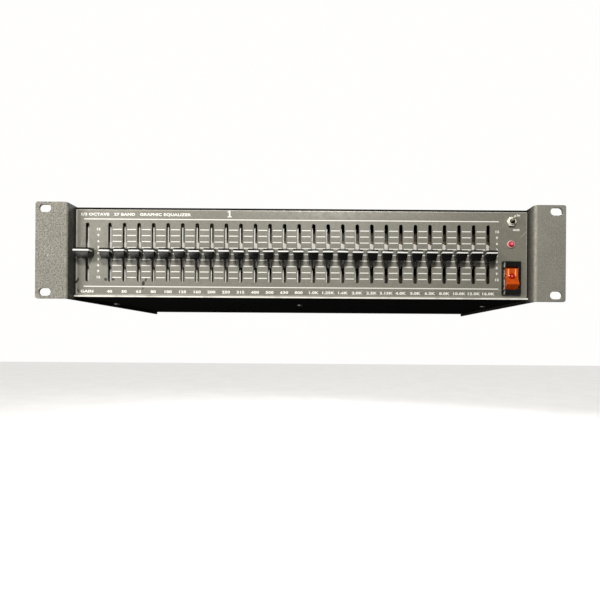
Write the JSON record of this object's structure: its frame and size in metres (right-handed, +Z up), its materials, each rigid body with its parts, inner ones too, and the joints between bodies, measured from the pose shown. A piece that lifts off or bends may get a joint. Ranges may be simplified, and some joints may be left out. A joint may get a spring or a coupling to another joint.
{
  "type": "graphic equalizer",
  "caption": "Rack graphic equalizer: bent steel case with ears, recessed panel of band sliders, gain slider, toggle, lamp and lit power rocker.",
  "frame": {"origin": "on the plane the side plates stand on, under the middle of the outer box", "axes": "front of the panel faces -Y, +X to the right seen from the front, +Z up"},
  "size_m": [0.4826, 0.2248, 0.0881],
  "materials": {
    "textured_paint": "fine textured grey paint over steel",
    "panel_paint": "satin grey paint with white legends",
    "cover_paint": "satin black paint over steel",
    "zinc_steel": "bright zinc plating",
    "pot_steel": "plated potentiometer housings on a brown board",
    "circuit_board": "printed circuit board with its components",
    "laminated_iron": "varnished transformer laminations",
    "cable_grey": "grey cable insulation",
    "nickel": "bright nickel plating",
    "red_lens": "clear red lens",
    "orange_lens": "clear orange rocker",
    "black_plastic": "moulded black plastic",
    "knob_plastic": "black slider cap with a white line"
  },
  "bodies": {
    "chassis": {"side_plate_left": "textured_paint", "side_plate_right": "textured_paint", "front_panel": "panel_paint", "rear_panel": "cover_paint", "top_cover": "cover_paint", "bottom_cover": "cover_paint", "bottom_screw_left": "zinc_steel", "bottom_screw_middle": "zinc_steel", "bottom_screw_right": "zinc_steel", "cross_brace": "zinc_steel", "slide_pot_board": "pot_steel", "filter_board": "circuit_board", "power_supply_board": "circuit_board", "power_transformer": "laminated_iron", "ribbon_cable": "cable_grey", "mains_harness": "cable_grey", "toggle_switch": "nickel", "toggle_nut": "nickel", "led_lamp": "red_lens", "led_bezel": "black_plastic", "power_switch_housing": "black_plastic", "input_jack": "black_plastic", "input_jack_nut": "nickel", "output_jack": "black_plastic", "output_jack_nut": "nickel", "fuse_holder": "black_plastic", "fuse_cap": "black_plastic", "mains_inlet": "black_plastic", "inlet_screw_left": "zinc_steel", "inlet_screw_right": "zinc_steel"},
    "slider_gain": {"slider_gain": "knob_plastic"},
    "slider_40hz": {"slider_40hz": "knob_plastic"},
    "slider_50hz": {"slider_50hz": "knob_plastic"},
    "slider_63hz": {"slider_63hz": "knob_plastic"},
    "slider_80hz": {"slider_80hz": "knob_plastic"},
    "slider_100hz": {"slider_100hz": "knob_plastic"},
    "slider_125hz": {"slider_125hz": "knob_plastic"},
    "slider_160hz": {"slider_160hz": "knob_plastic"},
    "slider_200hz": {"slider_200hz": "knob_plastic"},
    "slider_250hz": {"slider_250hz": "knob_plastic"},
    "slider_315hz": {"slider_315hz": "knob_plastic"},
    "slider_400hz": {"slider_400hz": "knob_plastic"},
    "slider_500hz": {"slider_500hz": "knob_plastic"},
    "slider_630hz": {"slider_630hz": "knob_plastic"},
    "slider_800hz": {"slider_800hz": "knob_plastic"},
    "slider_1k": {"slider_1k": "knob_plastic"},
    "slider_1k25": {"slider_1k25": "knob_plastic"},
    "slider_1k6": {"slider_1k6": "knob_plastic"},
    "slider_2k": {"slider_2k": "knob_plastic"},
    "slider_2k5": {"slider_2k5": "knob_plastic"},
    "slider_3k15": {"slider_3k15": "knob_plastic"},
    "slider_4k": {"slider_4k": "knob_plastic"},
    "slider_5k": {"slider_5k": "knob_plastic"},
    "slider_6k3": {"slider_6k3": "knob_plastic"},
    "slider_8k": {"slider_8k": "knob_plastic"},
    "slider_10k": {"slider_10k": "knob_plastic"},
    "slider_12k5": {"slider_12k5": "knob_plastic"},
    "slider_16k": {"slider_16k": "knob_plastic"},
    "toggle_lever": {"toggle_lever": "nickel"},
    "power_rocker": {"power_rocker": "orange_lens"}
  },
  "joints": [
    {"name": "slide_gain", "type": "slide", "parent": "chassis", "child": "slider_gain", "axis": [0, 0, 1], "range_m": [-0.0225, 0.0225]},
    {"name": "slide_40hz", "type": "slide", "parent": "chassis", "child": "slider_40hz", "axis": [0, 0, 1], "range_m": [-0.0225, 0.0225]},
    {"name": "slide_50hz", "type": "slide", "parent": "chassis", "child": "slider_50hz", "axis": [0, 0, 1], "range_m": [-0.0225, 0.0225]},
    {"name": "slide_63hz", "type": "slide", "parent": "chassis", "child": "slider_63hz", "axis": [0, 0, 1], "range_m": [-0.0225, 0.0225]},
    {"name": "slide_80hz", "type": "slide", "parent": "chassis", "child": "slider_80hz", "axis": [0, 0, 1], "range_m": [-0.0225, 0.0225]},
    {"name": "slide_100hz", "type": "slide", "parent": "chassis", "child": "slider_100hz", "axis": [0, 0, 1], "range_m": [-0.0225, 0.0225]},
    {"name": "slide_125hz", "type": "slide", "parent": "chassis", "child": "slider_125hz", "axis": [0, 0, 1], "range_m": [-0.0225, 0.0225]},
    {"name": "slide_160hz", "type": "slide", "parent": "chassis", "child": "slider_160hz", "axis": [0, 0, 1], "range_m": [-0.0225, 0.0225]},
    {"name": "slide_200hz", "type": "slide", "parent": "chassis", "child": "slider_200hz", "axis": [0, 0, 1], "range_m": [-0.0225, 0.0225]},
    {"name": "slide_250hz", "type": "slide", "parent": "chassis", "child": "slider_250hz", "axis": [0, 0, 1], "range_m": [-0.0225, 0.0225]},
    {"name": "slide_315hz", "type": "slide", "parent": "chassis", "child": "slider_315hz", "axis": [0, 0, 1], "range_m": [-0.0225, 0.0225]},
    {"name": "slide_400hz", "type": "slide", "parent": "chassis", "child": "slider_400hz", "axis": [0, 0, 1], "range_m": [-0.0225, 0.0225]},
    {"name": "slide_500hz", "type": "slide", "parent": "chassis", "child": "slider_500hz", "axis": [0, 0, 1], "range_m": [-0.0225, 0.0225]},
    {"name": "slide_630hz", "type": "slide", "parent": "chassis", "child": "slider_630hz", "axis": [0, 0, 1], "range_m": [-0.0225, 0.0225]},
    {"name": "slide_800hz", "type": "slide", "parent": "chassis", "child": "slider_800hz", "axis": [0, 0, 1], "range_m": [-0.0225, 0.0225]},
    {"name": "slide_1k", "type": "slide", "parent": "chassis", "child": "slider_1k", "axis": [0, 0, 1], "range_m": [-0.0225, 0.0225]},
    {"name": "slide_1k25", "type": "slide", "parent": "chassis", "child": "slider_1k25", "axis": [0, 0, 1], "range_m": [-0.0225, 0.0225]},
    {"name": "slide_1k6", "type": "slide", "parent": "chassis", "child": "slider_1k6", "axis": [0, 0, 1], "range_m": [-0.0225, 0.0225]},
    {"name": "slide_2k", "type": "slide", "parent": "chassis", "child": "slider_2k", "axis": [0, 0, 1], "range_m": [-0.0225, 0.0225]},
    {"name": "slide_2k5", "type": "slide", "parent": "chassis", "child": "slider_2k5", "axis": [0, 0, 1], "range_m": [-0.0225, 0.0225]},
    {"name": "slide_3k15", "type": "slide", "parent": "chassis", "child": "slider_3k15", "axis": [0, 0, 1], "range_m": [-0.0225, 0.0225]},
    {"name": "slide_4k", "type": "slide", "parent": "chassis", "child": "slider_4k", "axis": [0, 0, 1], "range_m": [-0.0225, 0.0225]},
    {"name": "slide_5k", "type": "slide", "parent": "chassis", "child": "slider_5k", "axis": [0, 0, 1], "range_m": [-0.0225, 0.0225]},
    {"name": "slide_6k3", "type": "slide", "parent": "chassis", "child": "slider_6k3", "axis": [0, 0, 1], "range_m": [-0.0225, 0.0225]},
    {"name": "slide_8k", "type": "slide", "parent": "chassis", "child": "slider_8k", "axis": [0, 0, 1], "range_m": [-0.0225, 0.0225]},
    {"name": "slide_10k", "type": "slide", "parent": "chassis", "child": "slider_10k", "axis": [0, 0, 1], "range_m": [-0.0225, 0.0225]},
    {"name": "slide_12k5", "type": "slide", "parent": "chassis", "child": "slider_12k5", "axis": [0, 0, 1], "range_m": [-0.0225, 0.0225]},
    {"name": "slide_16k", "type": "slide", "parent": "chassis", "child": "slider_16k", "axis": [0, 0, 1], "range_m": [-0.0225, 0.0225]},
    {"name": "toggle_tilt", "type": "hinge", "parent": "chassis", "child": "toggle_lever", "pos_m": [0.1965, -0.09865, 0.07595], "axis": [1, 0, 0], "range_deg": [0, 24]},
    {"name": "rocker_tilt", "type": "hinge", "parent": "chassis", "child": "power_rocker", "pos_m": [0.1965, -0.09815, 0.02315], "axis": [1, 0, 0], "range_deg": [0, 20]}
  ]
}
